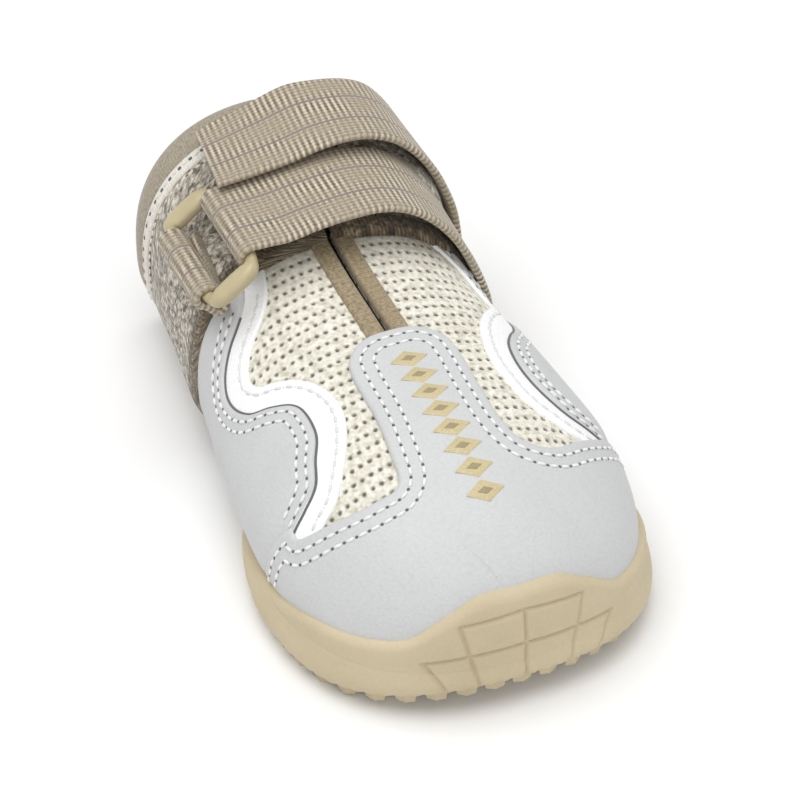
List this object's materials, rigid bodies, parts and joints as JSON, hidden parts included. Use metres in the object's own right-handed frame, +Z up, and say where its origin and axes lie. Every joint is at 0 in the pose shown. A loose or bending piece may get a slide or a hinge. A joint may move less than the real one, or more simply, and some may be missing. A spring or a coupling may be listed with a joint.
{
  "type": "dog boot",
  "caption": "Low soft dog boot: moulded cup outsole with lugs and toe bumper, hollow split upper, padded shaft, two webbing straps and a strap loop.",
  "frame": {"origin": "on the ground under the middle of the outsole, at the bottom of its middle lug", "axes": "+Z up; the toe points to -Y and the collar to +Y; +X is the side away from the strap loop"},
  "size_m": [0.063, 0.1108, 0.0465],
  "materials": {
    "sole_rubber": "matt moulded rubber, khaki tan, fine grain",
    "insole_foam": "dark brushed lining over foam",
    "upper_mesh": "cream air mesh with staggered dark holes",
    "shaft_fabric": "heathered taupe knit, padded",
    "gusset_fabric": "dark brown stretch fabric",
    "overlay_leather": "cool grey grained synthetic leather, stitched",
    "binding_tape": "tan twill tape",
    "webbing": "ribbed taupe webbing with pale reflective threads",
    "loop_plastic": "satin moulded plastic, khaki tan"
  },
  "bodies": {
    "root": {"outsole": "sole_rubber", "insole": "insole_foam", "upper": "upper_mesh", "shaft": "shaft_fabric", "gusset": "gusset_fabric", "toe_cap": "overlay_leather", "side_panel_left": "overlay_leather", "side_panel_right": "overlay_leather", "slit_binding_left": "binding_tape", "slit_binding_right": "binding_tape", "strap_front": "webbing", "strap_rear": "webbing", "loop_tab": "webbing", "strap_loop": "loop_plastic"}
  },
  "joints": []
}
